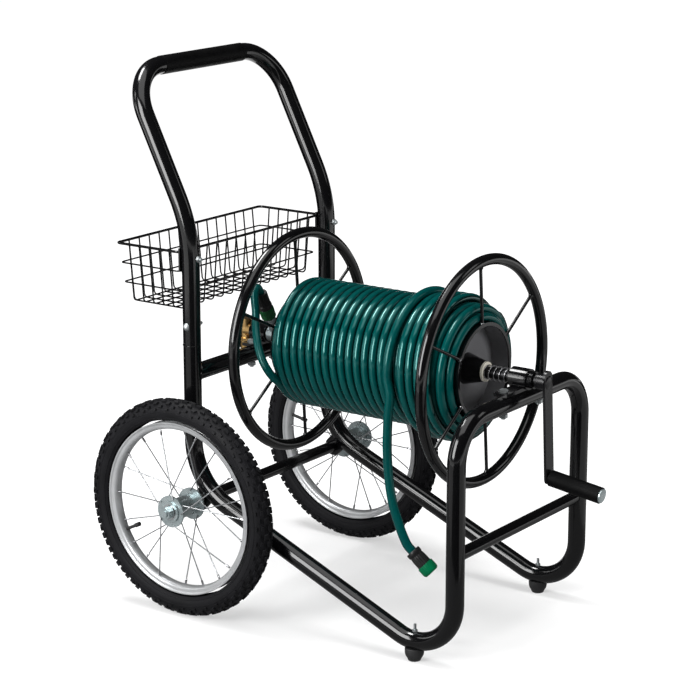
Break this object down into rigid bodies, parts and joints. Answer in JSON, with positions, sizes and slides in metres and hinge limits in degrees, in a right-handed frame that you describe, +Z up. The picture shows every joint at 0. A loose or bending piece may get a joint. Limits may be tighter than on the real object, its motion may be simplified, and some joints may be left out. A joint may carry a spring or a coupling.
{
  "type": "hose reel cart",
  "caption": "Two-wheeled garden hose reel cart: bent black tube frame, crank-wound hose drum, push handle and wire basket.",
  "frame": {"origin": "on the floor, at the middle of the cart's outline seen from above, the loose hose end left out", "axes": "+X to the right seen from the crank, -Y towards the crank, +Z up"},
  "size_m": [0.6186, 0.9019, 0.979],
  "materials": {
    "gloss_black": "glossy powder coat",
    "grip_black": "satin",
    "hose_teal": "glossy vinyl",
    "coupling_black": "satin",
    "collar_green": "glossy",
    "zinc": "zinc plated",
    "steel": "bright",
    "rim_silver": "polished",
    "brass": "polished",
    "bronze": "sintered",
    "drum_grey": "flat",
    "washer_cream": "nylon",
    "foot_rubber": "matt",
    "tyre_rubber": "matt"
  },
  "bodies": {
    "frame": {"left_side_tube": "gloss_black", "right_side_tube": "gloss_black", "front_hoop": "gloss_black", "front_crossbar": "gloss_black", "rear_crossbar": "gloss_black", "axle_tube": "gloss_black", "axle_rod": "zinc", "axle_nuts": "zinc", "handle_tube": "gloss_black", "handle_spigots": "gloss_black", "post_bolts": "zinc", "handle_sleeve": "grip_black", "feet": "foot_rubber", "foot_bolts": "zinc", "bearing_blocks": "gloss_black", "shaft_bushes": "bronze", "block_bolts": "zinc", "inlet_elbow": "brass", "basket_rim": "gloss_black", "basket_hoops": "gloss_black", "basket_cross_wires": "gloss_black", "basket_long_wires": "gloss_black", "basket_brackets": "gloss_black", "hose_tail": "hose_teal", "tail_coupling": "coupling_black", "tail_collar": "collar_green"},
    "reel": {"front_flange_ring": "gloss_black", "rear_flange_ring": "gloss_black", "front_flange_spokes": "gloss_black", "rear_flange_spokes": "gloss_black", "drum_tube": "gloss_black", "front_drum_plate": "drum_grey", "rear_drum_plate": "drum_grey", "front_hub": "gloss_black", "reel_shaft": "zinc", "hub_washer": "washer_cream", "drag_spring": "steel", "shaft_collar": "zinc", "crank_arm": "gloss_black", "crank_pin": "zinc", "hose_core": "hose_teal", "hose_winding": "hose_teal", "outlet_block": "zinc", "leader_collar": "collar_green", "leader_coupling": "coupling_black", "leader_hose": "hose_teal"},
    "crank_handle": {"crank_grip": "grip_black", "grip_cap": "steel"},
    "left_wheel": {"left_tyre": "tyre_rubber", "left_rim": "rim_silver", "left_spokes": "steel", "left_hub": "zinc", "left_bearings": "steel", "left_valve": "grip_black"},
    "right_wheel": {"right_tyre": "tyre_rubber", "right_rim": "rim_silver", "right_spokes": "steel", "right_hub": "zinc", "right_bearings": "steel", "right_valve": "grip_black"}
  },
  "joints": [
    {"name": "reel_turn", "type": "hinge", "parent": "frame", "child": "reel", "pos_m": [0, -0.29306, 0.467], "axis": [0, 1, 0], "continuous": true},
    {"name": "grip_turn", "type": "hinge", "parent": "reel", "child": "crank_handle", "pos_m": [0.012, -0.34406, 0.29542], "axis": [0.0097, -0.9903, -0.1388], "continuous": true},
    {"name": "left_wheel_turn", "type": "hinge", "parent": "frame", "child": "left_wheel", "pos_m": [-0.261, 0.25094, 0.2], "axis": [1, 0, 0], "continuous": true},
    {"name": "right_wheel_turn", "type": "hinge", "parent": "frame", "child": "right_wheel", "pos_m": [0.261, 0.25094, 0.2], "axis": [1, 0, 0], "continuous": true}
  ]
}
